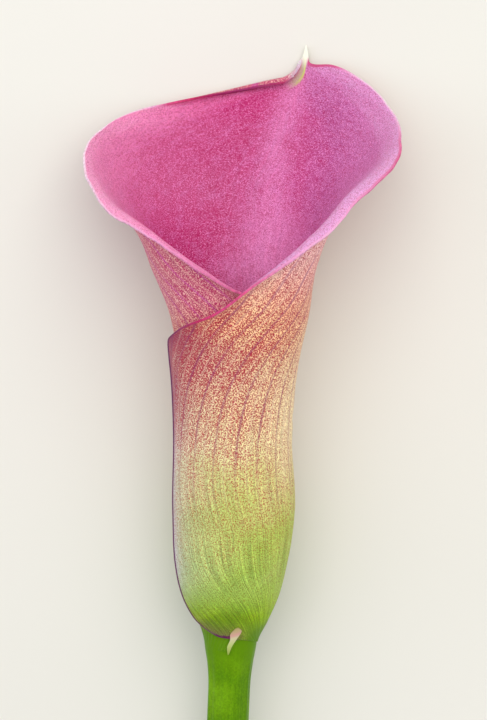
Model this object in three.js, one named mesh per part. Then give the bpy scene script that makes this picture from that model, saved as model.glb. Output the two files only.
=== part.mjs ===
// An arum lily flower, cut and laid on its back: one leaf blade rolled into a trumpet (the spathe), the spike of
// florets that it wraps (the spadix) and the cut stem that carries both.
//
// Every piece is shaped in the flower's own upright frame: +Z runs up the flower from the joint of stem and bloom,
// -Y is the front, where the blade's two margins cross, and +X is to the right of somebody who looks at the front.
// Angles round the trumpet are in degrees: 0 is the front, 90 the right, 180 the back and 270 the left.
// The finished flower lies on the plane z = 0 with its front up, its mouth towards -Y and its stem towards +Y.
import * as THREE from 'three';

// ---- Driving dimensions, in millimetres and degrees ----
const BLADE_THICKNESS = 0.9;
const LAYER_PITCH = 1.6; // from one turn of the rolled blade to the next, middle to middle
const LIE_TILT = 6.5; // the bloom's axis over the surface that it lies on
const JOINT_HEIGHT = 12.2; // the joint of stem and bloom over that surface
const STEM_LENGTH = 115;
const STEM_RADIUS = 4.8;
const STEM_TOP_RADIUS = 5.3; // where the stem widens to carry the bloom
const STEM_FLARE = 14; // the length over which it widens
const STEM_SWAY = -4; // how far the cut end lies to the side
const STEM_PRESS = 0.4; // how far the weight flattens the stem where it lies
const CUT_SLANT = 15; // of the cut across the stem
const SEAT_RADIUS = 3.6; // the small round seat on the stem's top, inside the blade's foot
const SEAT_TOP_RADIUS = 3.3;
const SEAT_FOOT = 0.1;
const SEAT_HEIGHT = 1.4;
const SPADIX_FOOT = 1.8; // height of its foot, just clear of the seat
const SPADIX_TOP = 51;
const SPADIX_RADIUS = 3.6;
const SPADIX_TAPER = 0.22; // the share of its width that it loses on the way up
const SPADIX_CROWN = 0.1; // the share of its length that is its round end
const FLORET_RELIEF = 0.35;

// The trumpet that the blade is rolled on: height, centre to the right, half width, half depth.
const TRUMPET = [
  [0, 0, 4.9, 4.9],
  [3, -0.6, 6.4, 6.2],
  [8, -0.3, 8.6, 8.6],
  [14, 0.2, 10.2, 10.3],
  [25, 0.8, 11.3, 11.5],
  [42, 0.6, 10.9, 11.4],
  [55, 0.8, 11.8, 12.4],
  [66, 1.1, 13.8, 13.8],
  [75, 0.0, 16.3, 15.8],
  [83, -0.2, 19.5, 18.4],
  [90, -1.1, 24.5, 21.2],
  [97, 0.7, 30.1, 23.4],
  [104, 2.0, 32.6, 24.6],
  [120, 2.6, 35.0, 25.8],
];

// The blade's margins and its midrib, from the base (0) to the tip (1): way along, angle, height, and for a margin
// how far its lip is curled outwards.
const OUTER_MARGIN = [
  [0.0, 8, 0.7, 0],
  [0.03, -30, 1.3, 0],
  [0.06, -62, 3.8, 0],
  [0.1, -82, 10, 0],
  [0.17, -91, 23, 0],
  [0.33, -93, 52, 0],
  [0.362, -91, 58.2, 0],
  [0.378, -82, 60.6, 0],
  [0.4, -61, 62.8, 10],
  [0.45, -16, 68.6, 40],
  [0.5, 16, 74.3, 60],
  [0.55, 42, 81, 75],
  [0.6, 63, 87.2, 74],
  [0.64, 74, 93.4, 50],
  [0.68, 84.5, 98, 35],
  [0.73, 100, 102.5, 20],
  [0.8, 119, 107.5, 10],
  [0.87, 134.5, 112.5, 10],
  [0.93, 148.5, 115.5, 0],
  [0.96, 155, 114.9, 0],
  [0.975, 156.7, 115.6, 0],
  [0.988, 157, 118, 0],
  [1.0, 157.8, 120.2, 0],
];
const MIDRIB = [
  [0.0, 180, 0.7],
  [0.06, 180, 5.5],
  [0.17, 180, 20],
  [0.38, 180, 48],
  [0.55, 177, 72],
  [0.7, 171, 89],
  [0.85, 164.5, 101.5],
  [0.92, 161.6, 106.2],
  [0.945, 160.4, 108.4],
  [0.96, 159.6, 110.8],
  [0.975, 158.6, 114.2],
  [1.0, 158.1, 120.4],
];
const INNER_MARGIN = [
  [0.0, 360, 0.7, 0],
  [0.06, 400, 5.5, 0],
  [0.17, 425, 20, 0],
  [0.3, 435, 42, 0],
  [0.38, 425, 55, 0],
  [0.43, 400, 64.5, 0],
  [0.47, 372, 70, 20],
  [0.52, 346, 75.5, 60],
  [0.57, 323, 81, 78],
  [0.62, 305, 85.6, 76],
  [0.67, 286, 89.6, 68],
  [0.72, 266, 95.5, 35],
  [0.77, 248, 101.4, 15],
  [0.83, 225, 105.6, 10],
  [0.87, 207, 107.6, -30],
  [0.91, 189, 110.6, -100],
  [0.94, 173, 111, -120],
  [0.957, 165.2, 112, -90],
  [0.975, 160.2, 114.8, 0],
  [0.988, 159.2, 118, 0],
  [1.0, 158.4, 120.2, 0],
];
const LIP_REACH = 3.6; // how far in from the margin the lip starts to curl outwards
const ROLL_REACH = 2; // and inwards, left of the tip
const MIDRIB_RIDGE = 1.2; // how far the midrib stands into the trumpet
const MIDRIB_SPREAD = 9; // degrees
const RIDGE_HEIGHTS = [62, 90]; // between which that ridge grows
const RIDGE_END = [0.93, 0.98]; // and fades again, along the blade
const MIDDLE_SAG = 1.6; // 1 would raise the blade evenly from midrib to margin, more keeps its middle low
const MOUTH = [70, 100]; // the heights between which the tube opens
const SQUARENESS = 0.3; // 0 keeps the mouth an ellipse, more makes its front and back flatter
const FOOT = [-6, 3]; // the heights between which the turns draw apart, up from the foot

// How finely the pieces are cut up.
const COLUMNS = 34;
const ROWS = 52;
const STEM_SIDES = 18;
const STEM_RINGS = 22;
const SPADIX_SIDES = 24;
const SPADIX_RINGS = 44;
const LAST_SPADIX_RING = 0.99; // just short of the top
const COLUMN_CROWDING = 1.3; // above 1 the blade's columns stand closer together near its margins
const RING_CROWDING = 1.2; // and the stem's rings near the joint
const STRAIGHT = 1e-4; // radians; a lip that turns less stays as it is

const radians = THREE.MathUtils.degToRad;
const smooth = THREE.MathUtils.smoothstep;

// A smooth curve through rows of [station, value, ...], read at one station.
function through(rows, station) {
  const at = THREE.MathUtils.clamp(station, rows[0][0], rows.at(-1)[0]);
  let i = 0;
  while (i < rows.length - 2 && at >= rows[i + 1][0]) i += 1;
  const slope = (k, c) => (rows[k + 1][c] - rows[k][c]) / (rows[k + 1][0] - rows[k][0]);
  const tangent = (k, c) => {
    if (k === 0) return slope(0, c);
    if (k === rows.length - 1) return slope(k - 1, c);
    const before = rows[k][0] - rows[k - 1][0];
    const after = rows[k + 1][0] - rows[k][0];
    return (slope(k - 1, c) * after + slope(k, c) * before) / (before + after);
  };
  const length = rows[i + 1][0] - rows[i][0];
  const u = (at - rows[i][0]) / length;
  return rows[i].slice(1).map((start, n) => {
    const c = n + 1;
    const bend = u * (1 - u) * length;
    const rise = u * u * (3 - 2 * u);
    return start + (rows[i + 1][c] - start) * rise
      + bend * ((1 - u) * tangent(i, c) - u * tangent(i + 1, c));
  });
}

// A point of the trumpet. Angles run on past a full turn, and each turn lies inside the one before.
function onTrumpet(angle, height, inwards = 0) {
  const [centre, halfWidth, halfDepth] = through(TRUMPET, height);
  const layer = LAYER_PITCH * ((180 - angle) / 360) * smooth(height, ...FOOT) - inwards;
  const sine = Math.sin(radians(angle));
  const cosine = Math.cos(radians(angle));
  const depth = cosine * (1 + SQUARENESS * smooth(height, ...MOUTH) * sine * sine);
  return new THREE.Vector3(centre + (halfWidth + layer) * sine, -(halfDepth + layer) * depth, height);
}

// The blade's middle surface: across runs from -1 at the outer margin over 0 at the midrib to 1 at the inner margin,
// and along from 0 at the base to 1 at the tip.
function onBlade(across, along) {
  const [ribAngle, ribHeight] = through(MIDRIB, along);
  const [edgeAngle, edgeHeight] = through(across < 0 ? OUTER_MARGIN : INNER_MARGIN, along);
  const share = Math.abs(across);
  const angle = THREE.MathUtils.lerp(ribAngle, edgeAngle, share);
  const height = THREE.MathUtils.lerp(ribHeight, edgeHeight, share ** MIDDLE_SAG);
  const offRib = (angle - ribAngle) / MIDRIB_SPREAD;
  const ridge = MIDRIB_RIDGE * Math.exp(-offRib * offRib) * smooth(height, ...RIDGE_HEIGHTS);
  return onTrumpet(angle, height, ridge * (1 - smooth(along, ...RIDGE_END)));
}

function surfaceNormals(grid) {
  const last = (list) => list.length - 1;
  return grid.map((column, i) => column.map((point, j) => {
    const acrossWay = grid[Math.min(i + 1, last(grid))][j].clone().sub(grid[Math.max(i - 1, 0)][j]);
    const alongWay = column[Math.min(j + 1, last(column))].clone().sub(column[Math.max(j - 1, 0)]);
    return acrossWay.cross(alongWay).normalize();
  }));
}

// Bends the strip next to a margin into an arc, outwards for a positive curl.
function curlLip(grid, normals, stations, side, margin) {
  const rim = side < 0 ? 0 : grid.length - 1;
  const rimPoints = grid[rim].map((point) => point.clone());
  rimPoints.forEach((edge, j) => {
    const before = rimPoints[Math.max(j - 1, 0)];
    const after = rimPoints[Math.min(j + 1, rimPoints.length - 1)];
    const outwards = after.clone().sub(before).cross(normals[rim][j]).normalize();
    if (outwards.dot(edge.clone().sub(grid[rim - side][j])) < 0) outwards.negate();
    const width = edge.distanceTo(grid[(grid.length - 1) / 2][j]);
    const curl = radians(through(margin, stations[j])[2]);
    const reach = Math.min(curl > 0 ? LIP_REACH : ROLL_REACH, width / 2);
    for (let i = rim; i !== (grid.length - 1) / 2; i -= side) {
      const strip = reach - edge.clone().sub(grid[i][j]).dot(outwards);
      const turn = (curl * strip) / reach;
      if (strip <= 0 || Math.abs(turn) < STRAIGHT) continue;
      grid[i][j].addScaledVector(outwards, strip * (Math.sin(turn) / turn - 1));
      grid[i][j].addScaledVector(normals[rim][j], (strip * (1 - Math.cos(turn))) / turn);
    }
  });
}

// In the flower's own frame: the way up from the surface that it lies on, and the way along that surface to the stem.
const UP = new THREE.Vector3(0, -Math.cos(radians(LIE_TILT)), Math.sin(radians(LIE_TILT)));
const STEMWARDS = new THREE.Vector3(0, -Math.sin(radians(LIE_TILT)), -Math.cos(radians(LIE_TILT)));
const heightOver = (point) => JOINT_HEIGHT + point.dot(UP);

// Where the blade would sink into the surface it is pressed flat on it.
function lift(point, height) {
  const short = height - heightOver(point);
  if (short > 0) point.addScaledVector(UP, short);
}

function solid(positions, triangles) {
  const geometry = new THREE.BufferGeometry();
  geometry.setAttribute('position', new THREE.Float32BufferAttribute(positions.flatMap((p) => p.toArray()), 3));
  geometry.setIndex(triangles.flat());
  geometry.computeVertexNormals();
  return geometry;
}

function spatheGeometry() {
  const across = Array.from({ length: COLUMNS + 1 }, (_, i) => {
    const even = (2 * i) / COLUMNS - 1;
    return Math.sign(even) * (1 - (1 - Math.abs(even)) ** COLUMN_CROWDING);
  });
  const along = Array.from({ length: ROWS + 1 }, (_, j) => j / ROWS);
  const middle = across.map((a) => along.map((b) => onBlade(a, b)));
  const flat = surfaceNormals(middle);
  curlLip(middle, flat, along, -1, OUTER_MARGIN);
  curlLip(middle, flat, along, 1, INNER_MARGIN);
  middle.flat().forEach((point) => lift(point, BLADE_THICKNESS / 2));
  const normals = surfaceNormals(middle);
  const face = (side) => middle.flatMap((column, i) => column.map((point, j) => {
    const skin = point.clone().addScaledVector(normals[i][j], (side * BLADE_THICKNESS) / 2);
    lift(skin, 0);
    return skin;
  }));
  const outside = (i, j) => i * (ROWS + 1) + j;
  const inside = (i, j) => outside(i, j) + (COLUMNS + 1) * (ROWS + 1);
  const triangles = [];
  const quad = (a, b, c, d) => triangles.push([a, b, c], [a, c, d]);
  // Each patch of the blade is split along its shorter diagonal, alike on both faces.
  const patch = (i, j) => {
    const corners = [[i, j], [i + 1, j], [i + 1, j + 1], [i, j + 1]];
    const [a, b, c, d] = corners.map(([m, n]) => middle[m][n]);
    if (b.distanceTo(d) < a.distanceTo(c)) corners.push(corners.shift());
    quad(...corners.map(([m, n]) => outside(m, n)));
    const [p, q, r, t] = corners.map(([m, n]) => inside(m, n));
    triangles.push([p, r, q], [p, t, r]);
  };
  for (let i = 0; i < COLUMNS; i += 1) {
    for (let j = 0; j < ROWS; j += 1) {
      patch(i, j);
    }
    quad(inside(i, 0), inside(i + 1, 0), outside(i + 1, 0), outside(i, 0));
    quad(outside(i, ROWS), outside(i + 1, ROWS), inside(i + 1, ROWS), inside(i, ROWS));
  }
  for (let j = 0; j < ROWS; j += 1) {
    quad(outside(0, j), outside(0, j + 1), inside(0, j + 1), inside(0, j));
    quad(inside(COLUMNS, j), inside(COLUMNS, j + 1), outside(COLUMNS, j + 1), outside(COLUMNS, j));
  }
  return solid([...face(1), ...face(-1)], triangles);
}

// A closed skin over rings of points, from the first ring's middle to the last one's.
function loftGeometry(rings, firstMiddle, lastMiddle) {
  const sides = rings[0].length;
  const first = rings.length * sides;
  const at = (ring, side) => ring * sides + (side % sides);
  const triangles = [];
  for (let side = 0; side < sides; side += 1) {
    for (let ring = 0; ring < rings.length - 1; ring += 1) {
      triangles.push([at(ring, side), at(ring, side + 1), at(ring + 1, side + 1)]);
      triangles.push([at(ring, side), at(ring + 1, side + 1), at(ring + 1, side)]);
    }
    triangles.push([first, at(0, side + 1), at(0, side)]);
    triangles.push([first + 1, at(rings.length - 1, side), at(rings.length - 1, side + 1)]);
  }
  return solid([...rings.flat(), firstMiddle, lastMiddle], triangles);
}

// The stem leaves the joint straight down the bloom's axis and bends softly until its cut end lies along the surface.
function stemGeometry() {
  const joint = new THREE.Vector3();
  const end = STEMWARDS.clone().multiplyScalar(STEM_LENGTH)
    .addScaledVector(UP, STEM_RADIUS - STEM_PRESS - JOINT_HEIGHT).setX(STEM_SWAY);
  const leaving = new THREE.Vector3(0, 0, -STEM_LENGTH / 3);
  const arriving = end.clone().addScaledVector(STEMWARDS, -STEM_LENGTH / 3);
  const axis = new THREE.CubicBezierCurve3(joint, leaving, arriving, end);
  const ringRound = (middle, down, radius, slant) => Array.from({ length: STEM_SIDES }, (_, side) => {
    const turn = (2 * Math.PI * side) / STEM_SIDES;
    const right = new THREE.Vector3(1, 0, 0).addScaledVector(down, -down.x).normalize();
    const front = down.clone().cross(right);
    const forwards = radius * Math.sin(turn);
    const point = middle.clone().addScaledVector(right, radius * Math.cos(turn));
    point.addScaledVector(front, forwards).addScaledVector(down, slant * forwards);
    lift(point, 0);
    return point;
  });
  const upTheAxis = (height) => new THREE.Vector3(0, 0, height);
  const seat = (height, radius) => ringRound(upTheAxis(height), upTheAxis(-1), radius, 0);
  const rings = [seat(SEAT_HEIGHT, SEAT_TOP_RADIUS), seat(SEAT_FOOT, SEAT_RADIUS)];
  for (let k = 0; k <= STEM_RINGS; k += 1) {
    const share = (k / STEM_RINGS) ** RING_CROWDING;
    const flare = 1 - smooth(share * STEM_LENGTH, 0, STEM_FLARE);
    const radius = THREE.MathUtils.lerp(STEM_RADIUS, STEM_TOP_RADIUS, flare);
    const slant = k === STEM_RINGS ? Math.tan(radians(CUT_SLANT)) : 0;
    rings.push(ringRound(axis.getPoint(share), axis.getTangent(share), radius, slant));
  }
  return loftGeometry(rings, upTheAxis(SEAT_HEIGHT), end);
}

// The spadix is a blunt finger. Each raised corner of its net is a floret.
function spadixGeometry() {
  const length = SPADIX_TOP - SPADIX_FOOT;
  const rings = Array.from({ length: SPADIX_RINGS + 1 }, (_, k) => {
    const share = (k / SPADIX_RINGS) * LAST_SPADIX_RING;
    const taper = 1 - SPADIX_TAPER * share;
    const crown = Math.sqrt(1 - Math.max(0, 1 - (1 - share) / SPADIX_CROWN) ** 2);
    return Array.from({ length: SPADIX_SIDES }, (__, side) => {
      const turn = (2 * Math.PI * side) / SPADIX_SIDES;
      const stands = (side + k) % 2 ? FLORET_RELIEF : 0;
      const radius = SPADIX_RADIUS * taper * crown + stands * crown;
      const height = SPADIX_FOOT + share * length;
      return new THREE.Vector3(radius * Math.cos(turn), radius * Math.sin(turn), height);
    });
  });
  const middle = (height) => new THREE.Vector3(0, 0, height);
  return loftGeometry(rings, middle(SPADIX_FOOT), middle(SPADIX_TOP));
}

const material = (color, roughness) => new THREE.MeshStandardMaterial({ color, roughness, metalness: 0 });

function mesh(name, geometry, look) {
  const piece = new THREE.Mesh(geometry, look);
  piece.name = name;
  return piece;
}

const bloom = new THREE.Group();
bloom.rotation.set(radians(LIE_TILT - 90), 0, Math.PI, 'ZXY');
bloom.position.z = JOINT_HEIGHT;
bloom.add(
  mesh('spathe', spatheGeometry(), material(0xd9668f, 0.5)),
  mesh('spadix', spadixGeometry(), material(0xe8c33c, 0.7)),
  mesh('stem', stemGeometry(), material(0x6f9a2a, 0.55)),
);

// The origin is the middle of the finished flower's box, on the surface that it lies on.
const flower = new THREE.Group();
flower.add(bloom);
flower.updateMatrixWorld(true);
const box = new THREE.Box3().setFromObject(flower, true);
flower.position.set(-(box.min.x + box.max.x) / 2, -(box.min.y + box.max.y) / 2, 0);
export default flower;
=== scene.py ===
# %% [markdown]
# # An arum lily flower, lying on its back
#
# The bloom of an arum lily looks like one petal, but it is a leaf: the spathe, a blade that rolls
# itself into a trumpet round a finger of tiny florets, the spadix. Below it is one fleshy stem, cut off
# with a knife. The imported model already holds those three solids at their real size. This script keeps
# their places and makes each one finer: thin curled lips, veins, speckles, florets and a juicy cut.

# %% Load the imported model, which fixes every size and place
import math

import bpy
import numpy as np
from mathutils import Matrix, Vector
from mathutils.kdtree import KDTree


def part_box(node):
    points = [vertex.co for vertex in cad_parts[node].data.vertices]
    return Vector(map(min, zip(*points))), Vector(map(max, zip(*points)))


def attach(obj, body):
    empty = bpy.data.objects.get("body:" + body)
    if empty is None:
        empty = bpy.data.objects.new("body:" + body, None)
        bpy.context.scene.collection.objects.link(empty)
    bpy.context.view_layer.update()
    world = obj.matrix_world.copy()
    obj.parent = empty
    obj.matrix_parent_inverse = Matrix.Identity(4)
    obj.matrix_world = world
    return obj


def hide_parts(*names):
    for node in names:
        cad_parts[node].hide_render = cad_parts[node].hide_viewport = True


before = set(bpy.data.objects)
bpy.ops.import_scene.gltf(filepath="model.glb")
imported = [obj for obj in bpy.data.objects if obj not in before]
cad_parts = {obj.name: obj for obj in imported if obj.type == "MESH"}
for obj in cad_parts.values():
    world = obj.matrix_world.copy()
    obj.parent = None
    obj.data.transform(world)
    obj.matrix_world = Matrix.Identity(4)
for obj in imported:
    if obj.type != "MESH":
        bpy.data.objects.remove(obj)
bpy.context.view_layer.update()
bpy.ops.object.select_all(action="DESELECT")
MM = 0.001

# %% [markdown]
# ## Where the flower is
#
# It is easiest to shape a flower standing up, so every piece is thought out in millimetres in an
# upright frame: zero is where stem and bloom meet, z runs up the bloom, the margins cross on the -y
# side, and x is to the right of somebody who looks at that side. The finished flower lies on its back,
# so one function turns and moves points.

# %% From the upright flower to the flower as it lies
LIE_TILT = math.radians(6.5)  # the bloom's axis over the floor
JOINT_HEIGHT = 12.2  # the joint of stem and bloom over the floor
joint = np.zeros(2)  # where that joint is on the floor; set once the blade is shaped


def lay_down(points):
    """Upright points in mm, as points in metres in the model's own frame."""
    x, y, z = np.moveaxis(np.asarray(points, float), -1, 0)
    across_floor = joint[0] - x
    along_floor = joint[1] - z * math.cos(LIE_TILT) - y * math.sin(LIE_TILT)
    height = JOINT_HEIGHT + z * math.sin(LIE_TILT) - y * math.cos(LIE_TILT)
    return np.stack([across_floor, along_floor, height], -1) * MM


def press(points, clearance, softness=0.5):
    """Upright points, lifted softly where they would come closer to the floor than the clearance."""
    up = np.array([0.0, -math.cos(LIE_TILT), math.sin(LIE_TILT)])
    over = JOINT_HEIGHT + points @ up - clearance
    lifted = (over + np.sqrt(over**2 + softness**2)) / 2
    fades = np.exp(-np.maximum(over, 0) / softness)
    return points + ((lifted - over) * np.where(over < 0, 1, fades))[..., None] * up


def corners(piece):
    """A piece's vertices, as an array of points."""
    return np.array([vertex.co for vertex in piece.data.vertices])


def put(piece, points):
    """Moves a piece's vertices to these upright points, laid down."""
    piece.data.vertices.foreach_set("co", lay_down(points).ravel())
    piece.data.update()


print("upright origin lies at", np.round(lay_down((0, 0, 0)), 4))

# %% [markdown]
# ## The blade's surface
#
# A rolled leaf is a sheet on a trumpet. The trumpet is an oval tube whose width and depth change with
# height. The sheet's two margins and its midrib are three lines on that trumpet, each given by an angle
# round it and a height; every other point of the blade lies between midrib and margin. Angles that run
# on past a full turn lie a little further in, which is what wraps one layer round the other.

# %% A smooth curve through a few given rows
def through(rows, station):
    """The values of a smooth curve through rows of (station, value, ...), at any array of stations."""
    at, values = np.array(rows, float)[:, 0], np.array(rows, float)[:, 1:]
    steps = np.diff(at)
    slopes = np.diff(values, axis=0) / steps[:, None]
    inner = slopes[:-1] * steps[1:, None] + slopes[1:] * steps[:-1, None]
    tangents = np.vstack([slopes[:1], inner / (steps[1:] + steps[:-1])[:, None], slopes[-1:]])
    station = np.clip(station, at[0], at[-1])
    i = np.clip(np.searchsorted(at, station, side="right") - 1, 0, len(steps) - 1)
    u = ((station - at[i]) / steps[i])[..., None]
    bend = u * (1 - u) * steps[i][..., None]
    curve = values[i] + (values[i + 1] - values[i]) * u * u * (3 - 2 * u)
    curve = curve + bend * ((1 - u) * tangents[i] - u * tangents[i + 1])
    return np.moveaxis(curve, -1, 0)


def smooth(value, low, high):
    """0 below low, 1 above high, and an even S between them."""
    share = np.clip((value - low) / (high - low), 0, 1)
    return share * share * (3 - 2 * share)


def between(value, starts, full, fades, gone):
    """Rises smoothly to 1 from starts to full, and falls back to 0 from fades to gone."""
    return smooth(value, starts, full) * (1 - smooth(value, fades, gone))


print("halfway up an S:", smooth(0.5, 0, 1))

# %% The trumpet: height, centre to the right, half width, half depth, in mm
TRUMPET = [
    (-3, -0.25, 5.28, 5.25),
    (-1.5, -0.2, 5.48, 5.4),
    (0, -0.15, 5.85, 5.6),
    (3, -0.15, 6.95, 6.4),
    (8, -0.05, 8.85, 8.6),
    (14, 0.2, 10.2, 10.3),
    (25, 0.8, 11.3, 11.5),
    (42, 0.6, 10.9, 11.4),
    (55, 0.8, 11.8, 12.4),
    (66, 1.1, 13.8, 13.8),
    (75, 0.0, 16.3, 15.8),
    (83, -0.2, 19.5, 18.4),
    (90, -1.3, 24.9, 21.2),
    (97, 0.4, 30.5, 23.4),
    (104, 2.0, 32.6, 24.6),
    (120, 2.6, 35.0, 25.8),
]
LAYER_PITCH = 1.6  # mm from one turn of the blade to the next
FOOT = (-2, 4)  # heights between which the turns draw apart
MOUTH = (70, 100)  # heights between which the tube opens
SQUARENESS = 0.3  # flattens the mouth's front and back


def on_trumpet(angle, height, inwards=0.0):
    """Points of the trumpet, for an angle in degrees (0 front, 90 right, 180 back, 270 left) and a height."""
    centre, half_width, half_depth = through(TRUMPET, height)
    layer = LAYER_PITCH * (180 - angle) / 360 * smooth(height, *FOOT) - inwards
    sine, cosine = np.sin(np.radians(angle)), np.cos(np.radians(angle))
    depth = cosine * (1 + SQUARENESS * smooth(height, *MOUTH) * sine**2)
    return np.stack([centre + (half_width + layer) * sine, -(half_depth + layer) * depth, height], -1)


print("mouth at 97 mm:", np.round(on_trumpet(np.array([90.0, 270.0]), np.array([97.0, 97.0])), 1).tolist())

# %% The margins and the midrib: way along, angle, height, and how far a lip curls outwards, in degrees
OUTER_MARGIN = [
    (0.0, 2, 0.0, 0),
    (0.03, -30, 0.3, 0),
    (0.06, -62, 3.6, 35),
    (0.1, -81, 10, 55),
    (0.17, -88, 23, 55),
    (0.33, -90, 52, 55),
    (0.362, -88, 58.2, 50),
    (0.378, -80, 60.6, 40),
    (0.4, -61, 62.8, 25),
    (0.45, -17, 68.2, 60),
    (0.5, 14, 75.8, 85),
    (0.55, 40, 82.7, 100),
    (0.6, 61, 88.7, 96),
    (0.64, 73, 94.0, 65),
    (0.68, 84.5, 98, 42),
    (0.73, 100, 102.5, 20),
    (0.8, 119, 107.5, 10),
    (0.87, 134.5, 112.5, 10),
    (0.93, 148.5, 115.6, 0),
    (0.96, 155.2, 115.7, 0),
    (0.972, 157.0, 116.1, 0),
    (0.986, 157.3, 117.4, 0),
    (1.0, 158.2, 119.4, 0),
]
MIDRIB = [
    (0.0, 180, -3),
    (0.06, 180, 4.5),
    (0.17, 180, 20),
    (0.38, 180, 48),
    (0.55, 169, 72),
    (0.7, 162, 89),
    (0.85, 162.5, 101.5),
    (0.92, 161.4, 106.2),
    (0.945, 160.4, 108.4),
    (0.96, 159.6, 110.8),
    (0.975, 158.4, 114.4),
    (1.0, 158.4, 119.6),
]
INNER_MARGIN = [
    (0.0, 360, -3, 0),
    (0.06, 400, 4.5, 0),
    (0.17, 425, 20, 0),
    (0.3, 435, 42, 0),
    (0.38, 425, 55, 0),
    (0.43, 400, 64.5, 0),
    (0.458, 380.5, 69.6, 12),
    (0.48, 366, 72.7, 75),
    (0.52, 346, 77.2, 98),
    (0.57, 323, 81.9, 92),
    (0.62, 305, 86.0, 82),
    (0.67, 286, 89.6, 68),
    (0.72, 266, 95.5, 35),
    (0.77, 248, 101.4, 15),
    (0.83, 225, 105.8, 5),
    (0.87, 207, 108.0, -50),
    (0.91, 189, 111.4, -130),
    (0.94, 173, 114.0, -175),
    (0.957, 165.4, 115.0, -180),
    (0.968, 162.0, 115.7, -150),
    (0.977, 160.4, 116.2, -40),
    (0.986, 159.4, 117.4, 0),
    (1.0, 158.6, 119.4, 0),
]
MIDDLE_SAG = 1.6  # keeps the blade's middle low between midrib and margin
MIDRIB_RIDGE = 0.8  # mm that the midrib stands into the trumpet
MIDRIB_SPREAD = 11  # degrees
RIDGE_HEIGHTS = (62, 90)  # between which that ridge rises
RIDGE_END = (0.93, 0.98)  # ways along the blade between which it runs out
FLUTING = 0.07  # mm, the soft ribs that run up the outside from the foot
FLUTES = 22  # of them in each half of the blade
FLUTE_HEIGHTS = (45, 80)  # between which they run out


def blade_lines(across, along):
    """The midrib's angle and height, the margin's height, and each point's degrees from the midrib."""
    rib_angle, rib_height = through(MIDRIB, along)
    edges = (through(margin, along) for margin in (OUTER_MARGIN, INNER_MARGIN))
    edge_angle, edge_height, _ = np.where(across < 0, *edges)
    return rib_angle, rib_height, edge_height, np.abs(edge_angle - rib_angle) * np.abs(across)


def on_blade(across, along):
    """The blade's middle surface: across is -1 at the outer margin, 0 at the midrib, 1 at the inner one."""
    rib_angle, rib_height, edge_height, from_rib = blade_lines(across, along)
    share = np.abs(across)
    angle = rib_angle + from_rib * np.sign(across)
    height = rib_height + (edge_height - rib_height) * share**MIDDLE_SAG
    ridge = MIDRIB_RIDGE * np.exp(-(((angle - rib_angle) / MIDRIB_SPREAD) ** 2))
    ridge = ridge * smooth(height, *RIDGE_HEIGHTS) * (1 - smooth(along, *RIDGE_END))
    flutes = FLUTING * np.cos(2 * np.pi * FLUTES * share) * (1 - smooth(height, *FLUTE_HEIGHTS))
    return on_trumpet(angle, height, ridge + flutes)


print("margins and midrib:", len(OUTER_MARGIN), len(INNER_MARGIN), len(MIDRIB), "rows")

# %% [markdown]
# ## Curled lips
#
# Near its margins the blade doesn't follow the trumpet: it turns outwards into a soft lip, and just
# left of the tip it rolls inwards instead. Bending a strip into an arc is a small sum. A point that
# lies `strip` past the start of the curl moves to where an arc of the same length would end, a little
# less far out and a little up along the normal.

# %% Bend the strips next to the margins
LIP_REACH = 3.6  # mm of blade that the left lip takes up
FLANGE_REACH = 4.6  # and the right one, which is broader
ROLL_REACH = 3.2  # and the inward roll left of the tip
SEAM_REACH = 1.1  # and the dark edge that stands off the tube's left side
SEAM_END = (0.36, 0.46)  # ways along the blade between which that edge becomes the lip
STRAIGHT = 1e-4  # radians; less than this isn't bent


def unit(vectors):
    """The same vectors, each one long."""
    return vectors / np.linalg.norm(vectors, axis=-1, keepdims=True)


def surface_normals(points):
    """Outward normals of a grid of points whose rows run along the blade and whose columns run across it."""
    return unit(np.cross(np.gradient(points, axis=1), np.gradient(points, axis=0)))


def curl_lip(points, normals, along, side, margin):
    """Bends one half of the grid, in place, next to its margin."""
    middle = points.shape[1] // 2
    rim, neighbour = (0, 1) if side < 0 else (-1, -2)
    half = points[:, :middle] if side < 0 else points[:, middle + 1 :]
    edge, rim_normals = points[:, rim].copy(), normals[:, rim]
    outwards = unit(np.cross(np.gradient(edge, axis=0), rim_normals))
    outwards *= np.sign(np.sum(outwards * (edge - points[:, neighbour]), axis=1))[:, None]
    curl = np.radians(through(margin, along)[2])
    width = np.linalg.norm(edge - points[:, middle], axis=1)
    lip = SEAM_REACH + (FLANGE_REACH - SEAM_REACH) * smooth(along, *SEAM_END) if side < 0 else LIP_REACH
    reach = np.minimum(np.where(curl > 0, lip, ROLL_REACH), width / 2)[:, None]
    strip = np.minimum(reach - np.sum((edge[:, None] - half) * outwards[:, None], axis=2), reach)
    turn = curl[:, None] * strip / reach
    bent = (strip > 0) & (np.abs(turn) > STRAIGHT)
    turn = np.where(bent, turn, 1.0)
    slide = np.where(bent, strip * (np.sin(turn) / turn - 1), 0.0)
    rise = np.where(bent, strip * (1 - np.cos(turn)) / turn, 0.0)
    half += outwards[:, None] * slide[..., None] + rim_normals[:, None] * rise[..., None]


print("the left lip bends", LIP_REACH, "mm of the blade, the right one", FLANGE_REACH, "mm")

# %% [markdown]
# ## Laying a grid on that surface
#
# In Blender the blade starts as a flat grid. Its x says how far across the blade a vertex is and its y
# how far along, so the shape is one assignment of coordinates. Columns stand closer together near the
# margins, where the lips curl. The margins of the two lobes also wander in and out a little, as those
# of a living leaf do, and where the back of the mouth would sink into the floor its weight presses it
# flat.

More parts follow.
